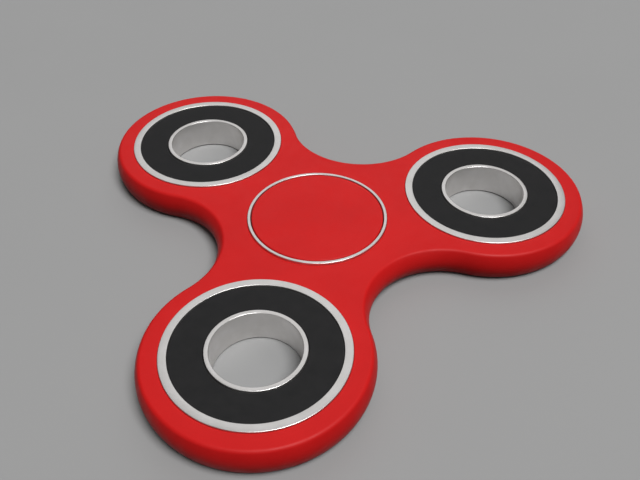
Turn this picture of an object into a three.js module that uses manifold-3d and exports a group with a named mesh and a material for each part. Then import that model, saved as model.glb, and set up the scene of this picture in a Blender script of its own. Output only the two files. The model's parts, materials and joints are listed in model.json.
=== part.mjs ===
// A three-lobed hand spinner: a moulded body, a ball bearing at its centre that two press-in caps
// turn in, and a sealed ball bearing in each lobe as a weight. Every piece is one closed mesh.
// Millimetres. The origin is on the spin axis at mid-thickness, +Z runs up the spin axis, and one
// lobe points along -Y. Run it in Node with three and manifold-3d installed.

import * as THREE from "three";
import { mergeVertices } from "three/addons/utils/BufferGeometryUtils.js";
import Module from "manifold-3d";

const wasm = await Module();
wasm.setup();

// ---- Driving dimensions, in millimetres and degrees -------------------------------------------

// Body
const LOBES = 3;
const FIRST_LOBE = -90; // direction of the first lobe
const BODY_THICKNESS = 4.0;
const LOBE_WALL = 2.72; // plastic outside a weight bearing, at mid-thickness
const WAIST_WALL = 4.33; // plastic outside the centre bearing between two lobes, at mid-thickness
const WEB = 3.59; // plastic between the centre bearing and a weight bearing
const LOBE_CROWN = 0.57; // how far a lobe's edge falls back from mid-thickness to the faces
const WAIST_CROWN = 0.9; // the same, between the lobes

// Weight bearings
const WEIGHT_RADIUS = 11.0;
const WEIGHT_BORE = 5.35; // radius
const WEIGHT_PROUD = 0.15; // how far the rings stand above the body's faces
const WEIGHT_OUTER_LAND = 1.025; // width of the outer ring's face
const WEIGHT_INNER_LAND = 0.565; // width of the inner ring's face
const WEIGHT_SEAL_RECESS = 0.15; // from the rings' faces down to the seal
const WEIGHT_SEAL = 0.35; // thickness

// Centre bearing
const CENTRE_RADIUS = 9.35;
const CENTRE_BORE = 3.5; // radius
const CENTRE_RIM = 0.28; // how far the outer ring's rim stands above the body's faces
const CENTRE_SUNK = 0.3; // from the body's faces down to the inner ring's faces
const CENTRE_OUTER_LAND = 0.42;
const CENTRE_INNER_LAND = 1.1;
const CENTRE_SEAL = 0.25; // thickness; its outside is level with the inner ring's face

// Balls and cages
const BALLS = 7;
const GROOVE_HALF_ANGLE = 52; // how far a ball groove wraps round the ball, each way
const CAGE_BACK = 0.25; // thickness of the cage behind a pocket
const PRONG_RISE = 0.5; // from the balls' centres up to the prongs' ends
const PRONG_ROOT = 0.45; // from the balls' centres down to the cage between two prongs
const PRONG = 0.9; // thickness of a prong beside its pocket

// Caps
const CAP_PLATE = 0.5; // thickness
const CAP_LIFT = 0.1; // from the inner ring's face up to the back of the plate
const CAP_CHAMFER = 0.3;
const CAP_BOSS_WALL = 0.9; // how far the boss that meets the inner ring spreads past the stud
const STUD_CHAMFER = 0.3;
const STUD_END = 0.15; // height where a cap's stud stops, short of the other cap's stud

// Clearances
const PRESS_GAP = 0.03; // between two pieces that are pressed together
const RACE_GAP = 0.05; // between a ball and what it rolls or slides on
const CAGE_GAP = 0.15; // between the cage and the rings beside it
const CAGE_END_GAP = 0.07; // between the cage's back and the seal
const SEAL_GAP = 0.08; // between a seal's lip and the inner ring that turns under it
const CAP_GAP = 0.12; // between a cap's edge and the centre ring's rim

// Facets
const SEGMENTS = 32; // facets round every turned piece
const LOBE_STEPS = 26; // facets round a lobe
const WAIST_STEPS = 12; // facets along the hollow between two lobes
const LEVELS = [-1, -0.6, 0, 0.6, 1]; // shares of the half-thickness where the outline is drawn
const GROOVE_STEPS = 3; // facets across a ball groove
const BALL_DETAIL = 1; // times that a ball's icosahedron is divided

// ---- Sizes that follow from them --------------------------------------------------------------

const HALF = BODY_THICKNESS / 2;
const LOBE_REACH = CENTRE_RADIUS + WEB + WEIGHT_RADIUS;
const LOBE_RADIUS = WEIGHT_RADIUS + LOBE_WALL;
const WAIST_RADIUS = CENTRE_RADIUS + WAIST_WALL;
const FLAT = Math.cos(Math.PI / SEGMENTS); // a facet's middle radius, as a share of its corner's
const BALL_FLAT = insideRadius(new THREE.IcosahedronGeometry(1, BALL_DETAIL));
const LOBE_TO_WAIST = Math.PI / LOBES; // angle between a lobe and the hollow beside it

const weightBearing = withInside({
  outerRadius: WEIGHT_RADIUS,
  boreRadius: WEIGHT_BORE,
  outerHalf: HALF + WEIGHT_PROUD,
  innerHalf: HALF + WEIGHT_PROUD,
  seatRadius: WEIGHT_RADIUS - WEIGHT_OUTER_LAND,
  lipRadius: WEIGHT_BORE + WEIGHT_INNER_LAND,
  sealTop: HALF + WEIGHT_PROUD - WEIGHT_SEAL_RECESS,
  sealThickness: WEIGHT_SEAL,
});

const centreBearing = withInside({
  outerRadius: CENTRE_RADIUS,
  boreRadius: CENTRE_BORE,
  outerHalf: HALF + CENTRE_RIM,
  innerHalf: HALF - CENTRE_SUNK,
  seatRadius: CENTRE_RADIUS - CENTRE_OUTER_LAND,
  lipRadius: CENTRE_BORE + CENTRE_INNER_LAND,
  sealTop: HALF - CENTRE_SUNK,
  sealThickness: CENTRE_SEAL,
});

// Adds the sizes inside a bearing. The seals and the cage's back leave room for the balls, which
// run midway between the bore and the outside. The grooves' facets touch a circle one race gap
// outside the ball, and the pockets' facets a sphere of that size.
function withInside(bearing) {
  const sealBack = bearing.sealTop - bearing.sealThickness;
  const cageBottom = CAGE_END_GAP - sealBack;
  const pocketRadius = -cageBottom - CAGE_BACK;
  const ballRadius = pocketRadius * BALL_FLAT - RACE_GAP;
  const halfAngle = THREE.MathUtils.degToRad(GROOVE_HALF_ANGLE);
  const grooveRadius = (ballRadius + RACE_GAP) / Math.cos(halfAngle / GROOVE_STEPS);
  return {
    ...bearing,
    sealBack,
    cageBottom,
    pocketRadius,
    ballRadius,
    halfAngle,
    grooveRadius,
    pitchRadius: (bearing.outerRadius + bearing.boreRadius) / 2,
    shoulder: grooveRadius * Math.cos(halfAngle), // from the pitch circle to each ring's shoulder
    ledge: sealBack - PRESS_GAP, // height of the shoulders under the seals
  };
}

// ---- Materials --------------------------------------------------------------------------------

const finish = (color, roughness, metalness) =>
  new THREE.MeshStandardMaterial({ color, roughness, metalness });

const redPlastic = finish(0xc92a2a, 0.45, 0.0);
const bearingSteel = finish(0xcfcbca, 0.3, 1.0);
const ballSteel = finish(0xe2e2e4, 0.12, 1.0);
const sealRubber = finish(0x2a282b, 0.7, 0.0);
const cageNylon = finish(0xd8cdb4, 0.6, 0.0);

// ---- Solids -----------------------------------------------------------------------------------

function toSolid(geometry) {
  const bare = geometry.clone();
  bare.deleteAttribute("normal");
  bare.deleteAttribute("uv");
  const merged = mergeVertices(bare, 1e-4);
  const mesh = new wasm.Mesh({
    numProp: 3,
    vertProperties: merged.attributes.position.array,
    triVerts: new Uint32Array(merged.index.array),
  });
  return new wasm.Manifold(mesh);
}

function toGeometry(solid) {
  const mesh = solid.getMesh();
  const geometry = new THREE.BufferGeometry();
  geometry.setAttribute("position", new THREE.BufferAttribute(mesh.vertProperties, 3));
  geometry.setIndex(new THREE.BufferAttribute(mesh.triVerts, 1));
  geometry.computeVertexNormals();
  return geometry;
}

// Turns a profile of [radius, height] points, listed anticlockwise, about +Z.
function turned(profile) {
  const points = profile.map(([radius, height]) => new THREE.Vector2(radius, height));
  const geometry = new THREE.LatheGeometry(points, SEGMENTS);
  geometry.rotateX(Math.PI / 2);
  return geometry;
}

function turnedRing(profile) {
  return turned([...profile, profile[0]]);
}

function polar(radius, angle) {
  return new THREE.Vector2(radius * Math.cos(angle), radius * Math.sin(angle));
}

// ---- Body -------------------------------------------------------------------------------------

function lobeAngle(index) {
  return THREE.MathUtils.degToRad(FIRST_LOBE) + 2 * LOBE_TO_WAIST * index;
}

function lobePlace(index) {
  return polar(LOBE_REACH, lobeAngle(index));
}

// Three lobe arcs joined by three hollow arcs, each tangent to both of its neighbours. The hollow
// arc's centre is on the line of the waist, at the distance where that tangency holds.
function outline(lobeRadius, waistRadius) {
  const step = lobeRadius - waistRadius;
  const along = LOBE_REACH * Math.cos(LOBE_TO_WAIST);
  const hollowDistance = (LOBE_REACH ** 2 - step ** 2) / (2 * (along + step));
  const hollowRadius = hollowDistance - waistRadius;
  const hollow = polar(hollowDistance, LOBE_TO_WAIST);
  const tangent = Math.atan2(hollow.y, hollow.x - LOBE_REACH);
  const hollowSpan = 2 * (tangent - LOBE_TO_WAIST);
  const origin = new THREE.Vector2();
  const points = [];
  for (let lobe = 0; lobe < LOBES; lobe++) {
    for (let i = 0; i < LOBE_STEPS; i++) {
      const angle = tangent * ((2 * i) / LOBE_STEPS - 1);
      const point = polar(lobeRadius, angle);
      point.x += LOBE_REACH;
      points.push(point.rotateAround(origin, lobeAngle(lobe)));
    }
    for (let i = 0; i < WAIST_STEPS; i++) {
      const angle = tangent + Math.PI - (hollowSpan * i) / WAIST_STEPS;
      const point = polar(hollowRadius, angle).add(hollow);
      points.push(point.rotateAround(origin, lobeAngle(lobe)));
    }
  }
  return points;
}

// The outline is drawn at several heights, and its edge falls back as a parabola towards the faces.
function bodyBlank() {
  const rings = LEVELS.map((level) =>
    outline(LOBE_RADIUS - LOBE_CROWN * level ** 2, WAIST_RADIUS - WAIST_CROWN * level ** 2),
  );
  const count = rings[0].length;
  const positions = [];
  rings.forEach((ring, row) => {
    const height = LEVELS[row] * HALF;
    ring.forEach((point) => positions.push(point.x, point.y, height));
  });
  const triangles = [];
  for (let row = 0; row < rings.length - 1; row++) {
    for (let i = 0; i < count; i++) {
      const next = (i + 1) % count;
      const here = row * count;
      const above = here + count;
      triangles.push(here + i, here + next, above + next);
      triangles.push(here + i, above + next, above + i);
    }
  }
  const topRow = (rings.length - 1) * count;
  for (const [a, b, c] of THREE.ShapeUtils.triangulateShape(rings[rings.length - 1], [])) {
    triangles.push(topRow + a, topRow + b, topRow + c);
  }
  for (const [a, b, c] of THREE.ShapeUtils.triangulateShape(rings[0], [])) {
    triangles.push(c, b, a);
  }
  const geometry = new THREE.BufferGeometry();
  geometry.setAttribute("position", new THREE.Float32BufferAttribute(positions, 3));
  geometry.setIndex(triangles);
  return geometry;
}

// A cylinder that cuts the seat of a bearing right through the body.
function seatCutter(bearing, place) {
  const radius = bearing.outerRadius + PRESS_GAP;
  const half = BODY_THICKNESS;
  const cutter = turned([
    [0, -half],
    [radius, -half],
    [radius, half],
    [0, half],
  ]);
  cutter.translate(place.x, place.y, 0);
  return cutter;
}

function bodyGeometry() {
  let solid = toSolid(bodyBlank()).subtract(toSolid(seatCutter(centreBearing, new THREE.Vector2())));
  for (let lobe = 0; lobe < LOBES; lobe++) {
    solid = solid.subtract(toSolid(seatCutter(weightBearing, lobePlace(lobe))));
  }
  return toGeometry(solid);
}

// ---- Bearings ---------------------------------------------------------------------------------

// Points of a ball groove from its upper end to its lower end. side is 1 in the outer ring, and -1
// in the inner ring. The outer ring's groove is widened so that its facets clear the balls.
function groovePoints(bearing, side) {
  const points = [];
  for (let i = 0; i <= GROOVE_STEPS; i++) {
    const angle = bearing.halfAngle * (1 - (2 * i) / GROOVE_STEPS);
    const radius = bearing.pitchRadius + side * bearing.grooveRadius * Math.cos(angle);
    points.push([side > 0 ? radius / FLAT : radius, bearing.grooveRadius * Math.sin(angle)]);
  }
  return points;
}

function outerRing(bearing) {
  const groove = groovePoints(bearing, 1);
  const shoulder = groove[0][0];
  return turnedRing([
    [bearing.outerRadius, -bearing.outerHalf],
    [bearing.outerRadius, bearing.outerHalf],
    [bearing.seatRadius, bearing.outerHalf],
    [bearing.seatRadius, bearing.ledge],
    [shoulder, bearing.ledge],
    ...groove,
    [shoulder, -bearing.ledge],
    [bearing.seatRadius, -bearing.ledge],
    [bearing.seatRadius, -bearing.outerHalf],
  ]);
}

function innerRing(bearing) {
  const groove = groovePoints(bearing, -1).reverse();
  const shoulder = groove[0][0];
  return turnedRing([
    [bearing.boreRadius, bearing.innerHalf],
    [bearing.boreRadius, -bearing.innerHalf],
    [bearing.lipRadius, -bearing.innerHalf],
    [bearing.lipRadius, -bearing.ledge],
    [shoulder, -bearing.ledge],
    ...groove,
    [shoulder, bearing.ledge],
    [bearing.lipRadius, bearing.ledge],
    [bearing.lipRadius, bearing.innerHalf],
  ]);
}

// side is 1 for the upper seal and -1 for the lower one.
function seal(bearing, side) {
  const low = side > 0 ? bearing.sealBack : -bearing.sealTop;
  const high = low + bearing.sealThickness;
  const inside = bearing.lipRadius + SEAL_GAP;
  const outside = bearing.seatRadius - PRESS_GAP;
  return turnedRing([
    [inside, low],
    [outside, low],
    [outside, high],
    [inside, high],
  ]);
}

function ballAngle(index) {
  return (2 * Math.PI * index) / BALLS;
}

function ball(bearing, index) {
  const place = polar(bearing.pitchRadius, ballAngle(index));
  const geometry = new THREE.IcosahedronGeometry(bearing.ballRadius, BALL_DETAIL);
  geometry.translate(place.x, place.y, 0);
  return geometry;
}

// A crown cage: a ring behind the balls, with a pocket round each ball that two prongs close.
function cage(bearing) {
  const inside = bearing.pitchRadius - bearing.shoulder + CAGE_GAP;
  const outside = bearing.pitchRadius + bearing.shoulder - CAGE_GAP;
  const spacing = (2 * Math.PI * bearing.pitchRadius) / BALLS;
  const saddleWidth = spacing - 2 * (bearing.pocketRadius + PRONG);
  const saddleHeight = 2 * (PRONG_RISE + PRONG_ROOT);
  let solid = toSolid(
    turnedRing([
      [inside, bearing.cageBottom],
      [outside, bearing.cageBottom],
      [outside, PRONG_RISE],
      [inside, PRONG_RISE],
    ]),
  );
  for (let i = 0; i < BALLS; i++) {
    const place = polar(bearing.pitchRadius, ballAngle(i));
    const pocket = new THREE.IcosahedronGeometry(bearing.pocketRadius, BALL_DETAIL);
    pocket.translate(place.x, place.y, 0);
    solid = solid.subtract(toSolid(pocket));
    const saddle = new THREE.BoxGeometry(2 * bearing.shoulder, saddleWidth, saddleHeight);
    saddle.translate(bearing.pitchRadius, 0, saddleHeight / 2 - PRONG_ROOT);
    saddle.rotateZ(ballAngle(i + 0.5));
    solid = solid.subtract(toSolid(saddle));
  }
  return toGeometry(solid);
}

// The radius of the largest sphere inside a faceted sphere.
function insideRadius(geometry) {
  const position = geometry.getAttribute("position");
  const triangle = new THREE.Triangle();
  const plane = new THREE.Plane();
  let least = Infinity;
  for (let i = 0; i < position.count; i += 3) {
    triangle.setFromAttributeAndIndices(position, i, i + 1, i + 2);
    least = Math.min(least, Math.abs(triangle.getPlane(plane).constant));
  }
  return least;
}

// ---- Caps -------------------------------------------------------------------------------------

// A finger plate, a boss that meets the centre inner ring, and a stud pressed into its bore.
function cap() {
  const plateRadius = centreBearing.seatRadius - CAP_GAP;
  const back = centreBearing.innerHalf + CAP_LIFT;
  const top = back + CAP_PLATE;
  const bossEnd = centreBearing.innerHalf + PRESS_GAP;
  const studRadius = centreBearing.boreRadius - PRESS_GAP;
  const bossRadius = studRadius + CAP_BOSS_WALL;
  return turned([
    [0, STUD_END],
    [studRadius - STUD_CHAMFER, STUD_END],
    [studRadius, STUD_END + STUD_CHAMFER],
    [studRadius, bossEnd],
    [bossRadius, bossEnd],
    [bossRadius, back],
    [plateRadius, back],
    [plateRadius, top - CAP_CHAMFER],
    [plateRadius - CAP_CHAMFER, top],
    [0, top],
  ]);
}

// ---- Assembly ---------------------------------------------------------------------------------

function named(name, geometry, material) {
  const mesh = new THREE.Mesh(geometry, material);
  mesh.name = name;
  return mesh;
}

function bearingGroup(bearing, prefix) {
  const group = new THREE.Group();
  group.add(named(prefix + "_outer_ring", outerRing(bearing), bearingSteel));
  group.add(named(prefix + "_inner_ring", innerRing(bearing), bearingSteel));
  group.add(named(prefix + "_cage", cage(bearing), cageNylon));
  group.add(named(prefix + "_seal_top", seal(bearing, 1), sealRubber));
  group.add(named(prefix + "_seal_bottom", seal(bearing, -1), sealRubber));
  for (let i = 0; i < BALLS; i++) {
    group.add(named(prefix + "_ball_" + (i + 1), ball(bearing, i), ballSteel));
  }
  return group;
}

const spinner = new THREE.Group();
spinner.add(named("body", bodyGeometry(), redPlastic));
spinner.add(bearingGroup(centreBearing, "centre"));
for (let lobe = 0; lobe < LOBES; lobe++) {
  const place = lobePlace(lobe);
  const group = bearingGroup(weightBearing, "weight" + (lobe + 1));
  group.position.set(place.x, place.y, 0);
  spinner.add(group);
}

spinner.add(named("top_cap", cap(), redPlastic));
const bottomCap = named("bottom_cap", cap(), redPlastic);
bottomCap.rotation.x = Math.PI;
spinner.add(bottomCap);

export default spinner;
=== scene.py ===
"""The looks of a hand spinner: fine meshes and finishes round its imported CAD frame.

Every turned piece is a profile of rounded corners turned about its bearing's axis, and the body is
the frame's own trefoil outline with a crowned edge. Radii, heights and places come from the frame.
"""

import json
import math

import bmesh
import bpy
import numpy as np
from mathutils import Matrix, Vector


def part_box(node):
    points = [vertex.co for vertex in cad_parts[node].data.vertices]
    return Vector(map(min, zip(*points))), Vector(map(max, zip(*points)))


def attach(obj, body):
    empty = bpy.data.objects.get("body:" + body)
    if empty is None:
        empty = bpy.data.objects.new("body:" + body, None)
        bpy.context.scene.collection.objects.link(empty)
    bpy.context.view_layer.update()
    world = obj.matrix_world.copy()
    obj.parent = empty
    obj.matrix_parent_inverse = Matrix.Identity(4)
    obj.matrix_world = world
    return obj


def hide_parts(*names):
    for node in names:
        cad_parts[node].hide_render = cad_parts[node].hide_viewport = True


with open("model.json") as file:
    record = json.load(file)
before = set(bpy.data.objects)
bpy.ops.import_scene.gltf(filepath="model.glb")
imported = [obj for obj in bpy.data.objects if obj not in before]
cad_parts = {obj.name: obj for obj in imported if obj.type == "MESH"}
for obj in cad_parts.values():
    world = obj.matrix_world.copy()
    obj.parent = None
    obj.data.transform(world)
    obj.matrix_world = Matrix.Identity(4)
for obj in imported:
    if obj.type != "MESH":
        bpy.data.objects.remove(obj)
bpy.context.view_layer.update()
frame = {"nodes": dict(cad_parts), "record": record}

MM = 0.001
SAME = 0.002 * MM  # two heights or radii closer than this are the same
ORIGIN = Vector((0, 0, 0))

# ---- Sizes that the frame doesn't hold --------------------------------------------------------

# Roundings, where the CAD solids have sharp corners and chamfers
BODY_EDGE = 0.55 * MM
SEAT_EDGE = 0.12 * MM
RING_EDGE = 0.07 * MM
SHOULDER_EDGE = 0.03 * MM
SEAL_EDGE = 0.09 * MM
CAP_EDGE = 0.18 * MM
CAP_BACK_EDGE = 0.06 * MM
STUD_EDGE = 0.25 * MM

PRESS_GAP = 0.004 * MM  # between pieces that are pressed together
RACE_GAP = 0.01 * MM  # between a ball and its groove

TURNS = 128  # facets round a turned piece
ARC_STEPS = 6  # facets across a rounded corner
GROOVE_STEPS = 14  # facets across a ball groove
LOBE_STEPS = 120  # facets round a lobe
WAIST_STEPS = 40  # facets along the hollow between two lobes
WALL_LEVELS = [0, 0.15, 0.3, 0.45, 0.6, 0.72, 0.84]  # shares of the half-thickness
BALL_DETAIL = 4  # level of a ball's icosphere, where 1 is the plain icosahedron

# Turns between neighbouring faces where rubbing begins to show, and where it shows in full
EDGE_FROM = math.radians(4)
EDGE_FULL = math.radians(12)

FACE_WEIGHT = 90  # how far a large face keeps its own normal against its small neighbours

# ---- Reading the frame ------------------------------------------------------------------------

BEARINGS = ["centre", "weight1", "weight2", "weight3"]
body_of_node = {}
for body, nodes in frame["record"]["behaviour"]["bodies"].items():
    for node in nodes:
        body_of_node[node] = body


def corners(node):
    """The corners of a CAD node, as rows of x, y, z."""
    return np.array([vertex.co for vertex in frame["nodes"][node].data.vertices])


def middle(node):
    low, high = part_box(node)
    return (low + high) / 2


def circles(node, height):
    """The radii of a turned node's circles at one height, smallest first."""
    centre = middle(node)
    points = corners(node)
    points = points[abs(points[:, 2] - height) < SAME]
    radii = np.hypot(points[:, 0] - centre.x, points[:, 1] - centre.y)
    return sorted(set(np.round(radii, 6)))


def reach(node, angle, height):
    """How far a node reaches from the Z axis in one direction, at one height."""
    points = corners(node)
    radii = np.hypot(points[:, 0], points[:, 1])
    along = points[:, 0] * math.cos(angle) + points[:, 1] * math.sin(angle)
    there = (radii - along < SAME) & (abs(points[:, 2] - height) < SAME)
    return radii[there].max()


def heights(node, radius):
    """The heights of a turned node's corners on one circle, lowest first."""
    centre = middle(node)
    points = corners(node)
    radii = np.hypot(points[:, 0] - centre.x, points[:, 1] - centre.y)
    return sorted(set(np.round(points[abs(radii - radius) < SAME, 2], 6)))


def measure_bearing(name):
    """A bearing's radii and heights. Heights are those of its upper half."""
    outer, inner, seal = name + "_outer_ring", name + "_inner_ring", name + "_seal_top"
    top, inner_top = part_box(outer)[1].z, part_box(inner)[1].z
    seat, outside = circles(outer, top)
    bore, lip = circles(inner, inner_top)
    seal_low, seal_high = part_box(seal)[0].z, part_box(seal)[1].z
    seal_inside, seal_outside = circles(seal, seal_high)
    ledge = [z for z in heights(outer, seat) if 0 < z < top - SAME][0]
    outer_shoulder = circles(outer, ledge)[0]
    inner_shoulder = circles(inner, ledge)[-1]
    ball_low, ball_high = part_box(name + "_ball_1")
    centre = middle(outer)
    pitch = (middle(name + "_ball_1").xy - centre.xy).length
    return {
        "centre": Vector((centre.x, centre.y, 0)),
        "top": top,
        "inner_top": inner_top,
        "outside": outside,
        "seat": seat,
        "lip": lip,
        "bore": bore,
        "seal_low": seal_low,
        "seal_high": seal_high,
        "seal_inside": seal_inside,
        "seal_outside": seal_outside,
        "ledge": ledge,
        "outer_shoulder": outer_shoulder,
        "inner_shoulder": inner_shoulder,
        "pitch": pitch,
        "ball": (ball_high.z - ball_low.z) / 2,
    }


bearings = {name: measure_bearing(name) for name in BEARINGS}

# ---- Mesh code --------------------------------------------------------------------------------


def corner_arc(before, corner, after, radius):
    """Points of an arc that rounds the corner between two straight edges."""
    to_before = (before - corner).normalized()
    to_after = (after - corner).normalized()
    half = to_before.angle(to_after) / 2
    start = corner + to_before * (radius / math.tan(half))
    end = corner + to_after * (radius / math.tan(half))
    centre = corner + (to_before + to_after).normalized() * (radius / math.sin(half))
    shares = [i / ARC_STEPS for i in range(ARC_STEPS + 1)]
    return [centre + (start - centre).slerp(end - centre, share) * radius for share in shares]


def rounded(profile):
    """Turns (radius, height, rounding) corners into points, with an arc at each rounded corner."""
    points = []
    for i, (radius, height, rounding) in enumerate(profile):
        corner = Vector((radius, height))
        if rounding:
            before = Vector(profile[i - 1][:2])
            after = Vector(profile[(i + 1) % len(profile)][:2])
            points += corner_arc(before, corner, after, rounding)
        else:
            points.append(corner)
    return points


def add_turned(mesh, profile, centre=ORIGIN, closed=True):
    """Adds the surface that a profile of (radius, height) points makes, turned about +Z."""
    columns = []
    for i in range(TURNS):
        turn = 2 * math.pi * i / TURNS
        x, y = math.cos(turn), math.sin(turn)
        columns.append([mesh.verts.new(centre + Vector((r * x, r * y, z))) for r, z in profile])
    add_grid(mesh, columns, closed)


def add_grid(mesh, columns, closed_column):
    """Adds four-sided faces between columns of vertices. The last column meets the first."""
    count = len(columns[0])
    for i, column in enumerate(columns):
        following = columns[(i + 1) % len(columns)]
        for k in range(count if closed_column else count - 1):
            above = (k + 1) % count
            mesh.faces.new((column[k], following[k], following[above], column[above]))


def finished(mesh, name, node, centre, material):
    """Makes an object of a mesh that stands for a CAD node and rides on that node's body."""
    bmesh.ops.remove_doubles(mesh, verts=mesh.verts, dist=SAME / 10)
    bmesh.ops.recalc_face_normals(mesh, faces=mesh.faces)
    worn = [edge_turn(vertex) for vertex in mesh.verts]
    data = bpy.data.meshes.new(name)
    mesh.to_mesh(data)
    mesh.free()
    data.shade_smooth()
    wear = data.attributes.new("wear", "FLOAT", "POINT")
    wear.data.foreach_set("value", worn)
    data.materials.append(material)
    piece = bpy.data.objects.new(name, data)
    piece.location = centre
    bpy.context.scene.collection.objects.link(piece)
    weighted = piece.modifiers.new("flat faces stay flat", "WEIGHTED_NORMAL")
    weighted.weight = FACE_WEIGHT
    weighted.keep_sharp = True
    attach(piece, body_of_node[node])
    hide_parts(node)
    return piece


def edge_turn(vertex):
    """From 0 on flat and gently curved skin to 1 on an outward corner, where hands rub."""
    turn = 0.0
    for edge in vertex.link_edges:
        if len(edge.link_faces) == 2:
            turn = max(turn, edge.calc_face_angle_signed(0.0))
    return min(max((turn - EDGE_FROM) / (EDGE_FULL - EDGE_FROM), 0.0), 1.0)


# ---- Body -------------------------------------------------------------------------------------

LOBES = 3
WAIST = math.pi / LOBES  # angle between a lobe and the hollow beside it
lobe_centres = [bearings[name]["centre"] for name in BEARINGS[1:]]
lobe_turns = [math.atan2(centre.y, centre.x) for centre in lobe_centres]
lobe_reach = lobe_centres[0].length


def polar(radius, angle):
    return Vector((radius * math.cos(angle), radius * math.sin(angle), 0))


def outline(lobe_radius, waist_radius):
    """Points round the trefoil, each with its outward direction: three lobe arcs joined by three
    hollow arcs, each tangent to both of its neighbours."""
    step = lobe_radius - waist_radius
    along = lobe_reach * math.cos(WAIST)
    hollow_distance = (lobe_reach**2 - step**2) / (2 * (along + step))
    hollow_radius = hollow_distance - waist_radius
    lobe = Vector((lobe_reach, 0, 0))
    hollow = polar(hollow_distance, WAIST)
    tangent = math.atan2(hollow.y, hollow.x - lobe_reach)
    hollow_span = 2 * (tangent - WAIST)
    points = []
    for turn in lobe_turns:
        rotation = Matrix.Rotation(turn, 3, "Z")
        for i in range(LOBE_STEPS):
            outward = polar(1, tangent * (2 * i / LOBE_STEPS - 1))
            points.append((rotation @ (lobe + outward * lobe_radius), rotation @ outward))
        for i in range(WAIST_STEPS):
            inward = polar(1, tangent + math.pi - hollow_span * i / WAIST_STEPS)
            points.append((rotation @ (hollow + inward * hollow_radius), rotation @ -inward))
    return points


def body_columns(half):
    """The section of the body's edge at each point of the outline, from its lower face to its
    upper one: a parabola that falls back towards the faces, and a rounded corner."""
    lobe_side, waist_side = lobe_turns[0], lobe_turns[0] + WAIST
    lobe_middle = reach("body", lobe_side, 0.0) - lobe_reach
    lobe_crown = lobe_middle + lobe_reach - reach("body", lobe_side, half)
    waist_middle = reach("body", waist_side, 0.0)
    waist_crown = waist_middle - reach("body", waist_side, half)

    def ring(level):
        fall = level**2
        flat = outline(lobe_middle - lobe_crown * fall, waist_middle - waist_crown * fall)
        lift = Vector((0, 0, level * half))
        return [(point + lift, outward) for point, outward in flat]

    walls = [ring(level) for level in WALL_LEVELS]
    rim = ring(1)
    columns = []
    for i, (corner, outward) in enumerate(rim):
        upper = [wall[i][0] for wall in walls]
        upper += corner_arc(upper[-1], corner, corner - outward, BODY_EDGE)
        lower = [Vector((point.x, point.y, -point.z)) for point in reversed(upper[1:])]
        columns.append(lower + upper)
    return columns


def seat_profile(radius, half):
    """The wall of a bearing's seat, with a rounded corner at each face."""
    inside, outside = Vector((radius, 0)), Vector((radius + SEAT_EDGE * 2, half))
    upper = corner_arc(inside, Vector((radius, half)), outside, SEAT_EDGE)
    lower = [Vector((point.x, -point.y)) for point in upper]
    return list(reversed(upper)) + lower


def make_body(material):
    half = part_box("body")[1].z
    mesh = bmesh.new()
    columns = [[mesh.verts.new(point) for point in column] for column in body_columns(half)]
    add_grid(mesh, columns, False)
    for bearing in bearings.values():
        seat = seat_profile(bearing["outside"] + PRESS_GAP, half)
        add_turned(mesh, seat, bearing["centre"], False)
    for side in (-1, 1):
        rims = [
            edge
            for edge in mesh.edges
            if edge.is_boundary and all(abs(v.co.z - side * half) < SAME for v in edge.verts)
        ]
        bmesh.ops.triangle_fill(mesh, edges=rims, use_beauty=True)
    return finished(mesh, "moulded_body", "body", ORIGIN, material)


# ---- Bearings ---------------------------------------------------------------------------------


def groove(bearing, shoulder, side):
    """Points of a ball groove from its upper end to its lower end. side is 1 in the outer ring."""
    radius = bearing["ball"] + RACE_GAP
    half = math.acos(abs(shoulder - bearing["pitch"]) / radius)
    points = []
    for i in range(GROOVE_STEPS + 1):
        angle = half * (1 - 2 * i / GROOVE_STEPS)
        out = bearing["pitch"] + side * radius * math.cos(angle)
        points.append((out, radius * math.sin(angle), 0))
    return points


def make_turned(name, node, profile, bearing, material, closed=True):
    mesh = bmesh.new()
    add_turned(mesh, profile, ORIGIN, closed)
    return finished(mesh, name, node, bearing["centre"], material)


def outer_ring_profile(bearing):
    top, ledge, shoulder = bearing["top"], bearing["ledge"], bearing["outer_shoulder"]
    upper = [
        (bearing["outside"], top, RING_EDGE),
        (bearing["seat"], top, RING_EDGE),
        (bearing["seat"], ledge, 0),
        (shoulder, ledge, SHOULDER_EDGE),
    ]
    lower = [(radius, -height, rounding) for radius, height, rounding in reversed(upper)]
    return rounded(upper + groove(bearing, shoulder, 1) + lower)


def inner_ring_profile(bearing):
    top, ledge, shoulder = bearing["inner_top"], bearing["ledge"], bearing["inner_shoulder"]
    lower = [
        (bearing["bore"], -top, RING_EDGE),
        (bearing["lip"], -top, RING_EDGE),
        (bearing["lip"], -ledge, 0),
        (shoulder, -ledge, SHOULDER_EDGE),
    ]
    upper = [(radius, -height, rounding) for radius, height, rounding in reversed(lower)]
    return rounded(lower + list(reversed(groove(bearing, shoulder, -1))) + upper)


def seal_profile(bearing, side):
    """side is 1 for the upper seal and -1 for the lower one. The corners of its face are rounded."""
    back, face = side * bearing["seal_low"], side * bearing["seal_high"]
    inside, outside = bearing["seal_inside"], bearing["seal_outside"]
    return rounded(
        [
            (inside, back, 0),
            (inside, face, SEAL_EDGE),
            (outside, face, SEAL_EDGE),
            (outside, back, 0),
        ]
    )


def make_ball(name, node, bearing, material):
    mesh = bmesh.new()
    bmesh.ops.create_icosphere(mesh, subdivisions=BALL_DETAIL, radius=bearing["ball"])
    return finished(mesh, name, node, middle(node), material)


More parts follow.
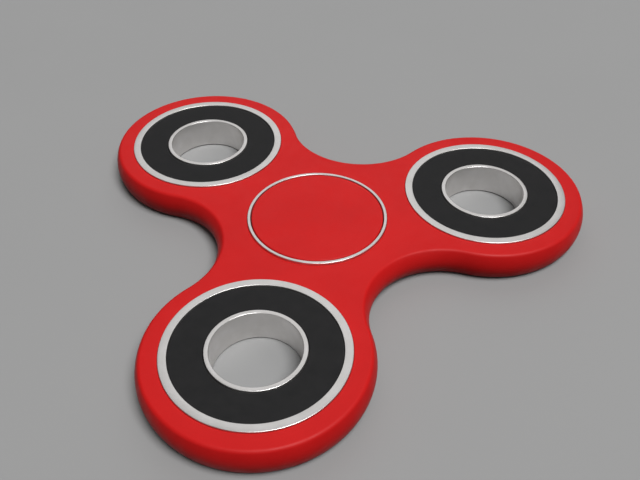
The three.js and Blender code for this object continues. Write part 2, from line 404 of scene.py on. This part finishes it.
def make_bearing(name, steel, ball_steel, rubber):
    bearing = bearings[name]
    outer, inner = name + "_outer_ring", name + "_inner_ring"
    make_turned(name + "_outer_race", outer, outer_ring_profile(bearing), bearing, steel)
    make_turned(name + "_inner_race", inner, inner_ring_profile(bearing), bearing, steel)
    for side, place in ((1, "top"), (-1, "bottom")):
        profile = seal_profile(bearing, side)
        make_turned(f"{name}_shield_{place}", f"{name}_seal_{place}", profile, bearing, rubber)
    for node in frame["nodes"]:
        if node.startswith(name + "_ball_"):
            make_ball(node.replace("_ball_", "_polished_ball_"), node, bearing, ball_steel)


# ---- Caps -------------------------------------------------------------------------------------


def make_cap(name, node, side, material):
    """A cap whose plate is rounded at its rim, and whose stud is rounded at its end. side is 1 for
    the top cap and -1 for the bottom one."""
    bearing = bearings["centre"]
    points = corners(node)
    points[:, 2] *= side
    radii = np.hypot(points[:, 0], points[:, 1])
    plate = radii.max()
    top = points[:, 2].max()
    end = points[:, 2].min()
    back = points[radii > plate - SAME, 2].min()
    boss_end = points[(radii < plate - SAME) & (points[:, 2] < back - SAME), 2].max()
    at_boss = radii[abs(points[:, 2] - boss_end) < SAME]
    stud, boss = at_boss.min(), at_boss.max()
    profile = rounded(
        [
            (0, end, 0),
            (stud, end, STUD_EDGE),
            (stud, boss_end, 0),
            (boss, boss_end, 0),
            (boss, back, 0),
            (plate, back, CAP_BACK_EDGE),
            (plate, top, CAP_EDGE),
            (0, top, 0),
        ]
    )
    profile = [Vector((radius, side * height)) for radius, height in profile]
    return make_turned(name, node, profile, bearing, material, closed=False)


# ---- Materials --------------------------------------------------------------------------------

NOISE_LOW, NOISE_HIGH = 0.3, 0.7
RING_TURN = 3  # how far the marks of turning drift on their way round, in marks' widths


def principled(slot, **values):
    """A material for one of the record's slots, with its Principled shader's sockets set. Returns
    it with its node tree and shader."""
    material = bpy.data.materials.new(slot + "_finish")
    material["slot"] = slot
    material.use_nodes = True
    shader = material.node_tree.nodes["Principled BSDF"]
    for socket, value in values.items():
        shader.inputs[socket.replace("_", " ")].default_value = value
    return material, material.node_tree, shader


def add_node(tree, kind, inputs, **settings):
    """Adds a node. An input is a value or another node's output."""
    node = tree.nodes.new("ShaderNode" + kind)
    for key, value in settings.items():
        setattr(node, key, value)
    for key, value in inputs.items():
        if isinstance(value, bpy.types.NodeSocket):
            tree.links.new(value, node.inputs[key])
        else:
            node.inputs[key].default_value = value
    return node


def noise(tree, vector, size, detail=2.0, roughness=0.5):
    """Noise whose blotches are about that size across, in metres."""
    inputs = {"Vector": vector, "Scale": 1 / size, "Detail": detail, "Roughness": roughness}
    return add_node(tree, "TexNoise", inputs).outputs["Fac"]


def map_range(tree, value, source, target):
    """Maps one range of values to another, and holds what lies outside the first at its ends."""
    inputs = {"Value": value, "From Min": source[0], "From Max": source[1]}
    inputs |= {"To Min": target[0], "To Max": target[1]}
    return add_node(tree, "MapRange", inputs).outputs["Result"]


def spread(tree, value, low, high):
    """Maps noise, in the range where it mostly lies, to the range from low to high."""
    return map_range(tree, value, (NOISE_LOW, NOISE_HIGH), (low, high))


def blend(tree, share, a, b):
    """Mixes two colours."""
    node = add_node(tree, "Mix", {}, data_type="RGBA")
    sockets = {"Factor": node.inputs[0], "A": node.inputs[6], "B": node.inputs[7]}
    for key, value in (("Factor", share), ("A", a), ("B", b)):
        if isinstance(value, bpy.types.NodeSocket):
            tree.links.new(value, sockets[key])
        else:
            sockets[key].default_value = value
    return node.outputs[2]


def bump(tree, height, depth, below=None):
    """A bump of that depth in metres, on top of another bump if one is given."""
    inputs = {"Height": height, "Distance": depth, "Strength": 1.0}
    if below is not None:
        inputs["Normal"] = below
    return add_node(tree, "Bump", inputs).outputs["Normal"]


def place(tree):
    """The piece's own coordinates, with its origin on its bearing's axis."""
    return add_node(tree, "TexCoord", {}).outputs["Object"]


def wear(tree):
    return add_node(tree, "Attribute", {}, attribute_name="wear").outputs["Fac"]


def math_node(tree, operation, a, b=0.0):
    return add_node(tree, "Math", {0: a, 1: b}, operation=operation).outputs[0]


def turning_marks(tree, size):
    """Noise drawn out into rings about the piece's axis, as a lathe or a grinding wheel leaves."""
    position = place(tree)
    split = add_node(tree, "SeparateXYZ", {0: position})
    flat = add_node(tree, "CombineXYZ", {"X": split.outputs["X"], "Y": split.outputs["Y"]})
    length = add_node(tree, "VectorMath", {0: flat.outputs[0]}, operation="LENGTH")
    unit = add_node(tree, "VectorMath", {0: flat.outputs[0]}, operation="NORMALIZE")
    way = add_node(tree, "SeparateXYZ", {0: unit.outputs[0]})
    across = math_node(tree, "MULTIPLY", way.outputs["X"], size * RING_TURN)
    along = math_node(tree, "MULTIPLY", way.outputs["Y"], size * RING_TURN)
    slid = math_node(tree, "ADD", length.outputs["Value"], along)
    coordinates = add_node(tree, "CombineXYZ", {"X": slid, "Y": split.outputs["Z"], "Z": across})
    return noise(tree, coordinates.outputs[0], size, detail=3.0, roughness=0.6)


def make_red_plastic():
    material, tree, shader = principled("red_plastic", Specular_IOR_Level=0.2)
    position = place(tree)
    deep, bright = (0.56, 0.0075, 0.008, 1), (0.66, 0.0105, 0.0105, 1)
    rubbed = (0.72, 0.03, 0.028, 1)
    flow = spread(tree, noise(tree, position, 7 * MM, detail=3.0), 0.25, 0.75)
    speck = spread(tree, noise(tree, position, 0.22 * MM), -0.12, 0.12)
    colour = blend(tree, math_node(tree, "ADD", flow, speck), deep, bright)
    colour = blend(tree, math_node(tree, "MULTIPLY", wear(tree), 0.12), colour, rubbed)
    tree.links.new(colour, shader.inputs["Base Color"])
    rough = spread(tree, noise(tree, position, 1.6 * MM, detail=4.0), 0.44, 0.56)
    rough = math_node(tree, "SUBTRACT", rough, math_node(tree, "MULTIPLY", wear(tree), 0.04))
    tree.links.new(rough, shader.inputs["Roughness"])
    waves = bump(tree, noise(tree, position, 5 * MM, detail=1.0), 0.03 * MM)
    grain = bump(tree, noise(tree, position, 0.13 * MM, detail=3.0), 0.006 * MM, waves)
    tree.links.new(grain, shader.inputs["Normal"])
    return material


def make_ring_steel():
    material, tree, shader = principled("ring_steel", Metallic=1.0)
    marks = turning_marks(tree, 0.09 * MM)
    stain = noise(tree, place(tree), 2.5 * MM, detail=3.0)
    dull, clean = (0.74, 0.72, 0.70, 1), (0.84, 0.82, 0.81, 1)
    colour = blend(tree, spread(tree, stain, 0.0, 1.0), dull, clean)
    tree.links.new(colour, shader.inputs["Base Color"])
    stained = spread(tree, stain, -0.03, 0.03)
    rough = math_node(tree, "ADD", spread(tree, marks, 0.34, 0.46), stained)
    rough = math_node(tree, "SUBTRACT", rough, math_node(tree, "MULTIPLY", wear(tree), 0.06))
    tree.links.new(rough, shader.inputs["Roughness"])
    tree.links.new(bump(tree, marks, 0.0025 * MM), shader.inputs["Normal"])
    return material


def make_ball_steel():
    material, tree, shader = principled("ball_steel", Metallic=1.0)
    scuffs = noise(tree, place(tree), 0.4 * MM, detail=5.0, roughness=0.7)
    colour = blend(tree, scuffs, (0.74, 0.74, 0.76, 1), (0.80, 0.80, 0.81, 1))
    tree.links.new(colour, shader.inputs["Base Color"])
    tree.links.new(spread(tree, scuffs, 0.05, 0.12), shader.inputs["Roughness"])
    return material


def make_seal_rubber():
    material, tree, shader = principled("seal_rubber", Specular_IOR_Level=0.2)
    position = place(tree)
    bloom = noise(tree, position, 1.8 * MM, detail=5.0, roughness=0.65)
    black, bloomed = (0.012, 0.012, 0.0125, 1), (0.019, 0.0185, 0.019, 1)
    colour = blend(tree, spread(tree, bloom, 0.0, 1.0), black, bloomed)
    tree.links.new(colour, shader.inputs["Base Color"])
    tree.links.new(spread(tree, bloom, 0.58, 0.72), shader.inputs["Roughness"])
    rings = bump(tree, turning_marks(tree, 0.3 * MM), 0.006 * MM)
    grain = bump(tree, noise(tree, position, 0.08 * MM, detail=2.0), 0.005 * MM, rings)
    tree.links.new(grain, shader.inputs["Normal"])
    return material


def make_cage_nylon():
    material, tree, shader = principled("cage_nylon", Specular_IOR_Level=0.4)
    position = place(tree)
    flow = spread(tree, noise(tree, position, 2 * MM, detail=3.0), 0.0, 1.0)
    colour = blend(tree, flow, (0.62, 0.55, 0.40, 1), (0.73, 0.66, 0.51, 1))
    tree.links.new(colour, shader.inputs["Base Color"])
    tree.links.new(spread(tree, flow, 0.42, 0.55), shader.inputs["Roughness"])
    tree.links.new(bump(tree, noise(tree, position, 0.1 * MM), 0.004 * MM), shader.inputs["Normal"])
    return material


def make_floor_material():
    material, tree, shader = principled("floor", Specular_IOR_Level=0.1, Roughness=0.9)
    tone = noise(tree, place(tree), 30 * MM, detail=3.0)
    colour = blend(tree, tone, (0.345, 0.345, 0.345, 1), (0.36, 0.36, 0.36, 1))
    tree.links.new(colour, shader.inputs["Base Color"])
    return material


# ---- Making the pieces ------------------------------------------------------------------------

red_plastic = make_red_plastic()
ring_steel = make_ring_steel()
ball_steel = make_ball_steel()
seal_rubber = make_seal_rubber()
cage_nylon = make_cage_nylon()

make_body(red_plastic)
make_cap("top_finger_cap", "top_cap", 1, red_plastic)
make_cap("bottom_finger_cap", "bottom_cap", -1, red_plastic)
for name in BEARINGS:
    make_bearing(name, ring_steel, ball_steel, seal_rubber)
    cage = frame["nodes"][name + "_cage"]  # closed in by the seals, so its CAD solid stays
    cage.data.materials.clear()
    cage.data.materials.append(cage_nylon)

# ---- Floor, light and camera ------------------------------------------------------------------

FLOOR_SIZE = 4.0
KEY_AZIMUTH, KEY_ELEVATION, KEY_SIZE, KEY_POWER = 56, 67, 1.7, 80.0
BACK_AZIMUTH, BACK_ELEVATION, BACK_SIZE, BACK_POWER = 196.5, 43, 2.8, 14.0
LIGHT_DISTANCE = 3.0
WORLD_ABOVE, WORLD_BELOW = 0.11, 0.015
WORLD_FADE = (-0.4, 0.6)  # heights on a unit sphere between which the one fades into the other

CAMERA_AZIMUTH, CAMERA_ELEVATION = 16.49, 42.13
CAMERA_DISTANCE = 104.0 * MM
CAMERA_LENS = 43.66
AIM_RIGHT, AIM_UP = 0.376 * MM, -3.242 * MM  # from the middle of the bearings' upper plane


def from_origin(azimuth, elevation):
    """Unit vector towards a place. Azimuth 0 is towards -Y and 90 towards +X."""
    a, e = math.radians(azimuth), math.radians(elevation)
    return Vector((math.sin(a) * math.cos(e), -math.cos(a) * math.cos(e), math.sin(e)))


def add_floor():
    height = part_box("bottom_cap")[0].z
    mesh = bmesh.new()
    bmesh.ops.create_grid(mesh, x_segments=1, y_segments=1, size=FLOOR_SIZE / 2)
    data = bpy.data.meshes.new("floor")
    mesh.to_mesh(data)
    mesh.free()
    data.materials.append(make_floor_material())
    floor = bpy.data.objects.new("floor", data)
    floor.location.z = height
    floor.visible_diffuse = False  # so that it throws no light back onto the sides
    bpy.context.scene.collection.objects.link(floor)


def add_panel(name, azimuth, elevation, size, power):
    light = bpy.data.lights.new(name, "AREA")
    light.shape = "DISK"
    light.size = size
    light.energy = power
    panel = bpy.data.objects.new(name, light)
    towards = from_origin(azimuth, elevation)
    panel.location = towards * LIGHT_DISTANCE
    panel.rotation_mode = "QUATERNION"
    panel.rotation_quaternion = towards.to_track_quat("Z", "Y")
    bpy.context.scene.collection.objects.link(panel)


def add_world():
    """Weak light from all round, which fades from above to below."""
    world = bpy.data.worlds.new("studio")
    world.use_nodes = True
    tree = world.node_tree
    background = tree.nodes["Background"]
    background.inputs["Color"].default_value = (1, 1, 1, 1)
    direction = add_node(tree, "TexCoord", {}).outputs["Generated"]
    rise = add_node(tree, "SeparateXYZ", {0: direction}).outputs["Z"]
    strength = map_range(tree, rise, WORLD_FADE, (WORLD_BELOW, WORLD_ABOVE))
    tree.links.new(strength, background.inputs["Strength"])
    bpy.context.scene.world = world


def add_camera():
    data = bpy.data.cameras.new("camera")
    data.lens = CAMERA_LENS
    data.clip_start = 1 * MM
    camera = bpy.data.objects.new("camera", data)
    back = from_origin(CAMERA_AZIMUTH, CAMERA_ELEVATION)
    rotation = back.to_track_quat("Z", "Y")
    right, up = rotation @ Vector((1, 0, 0)), rotation @ Vector((0, 1, 0))
    plane = Vector((0, 0, bearings["weight1"]["top"]))
    camera.location = plane + right * AIM_RIGHT + up * AIM_UP + back * CAMERA_DISTANCE
    camera.rotation_mode = "QUATERNION"
    camera.rotation_quaternion = rotation
    bpy.context.scene.collection.objects.link(camera)
    bpy.context.scene.camera = camera


add_floor()
add_panel("key", KEY_AZIMUTH, KEY_ELEVATION, KEY_SIZE, KEY_POWER)
add_panel("back", BACK_AZIMUTH, BACK_ELEVATION, BACK_SIZE, BACK_POWER)
add_world()
add_camera()
bpy.context.scene.view_settings.view_transform = "Standard"
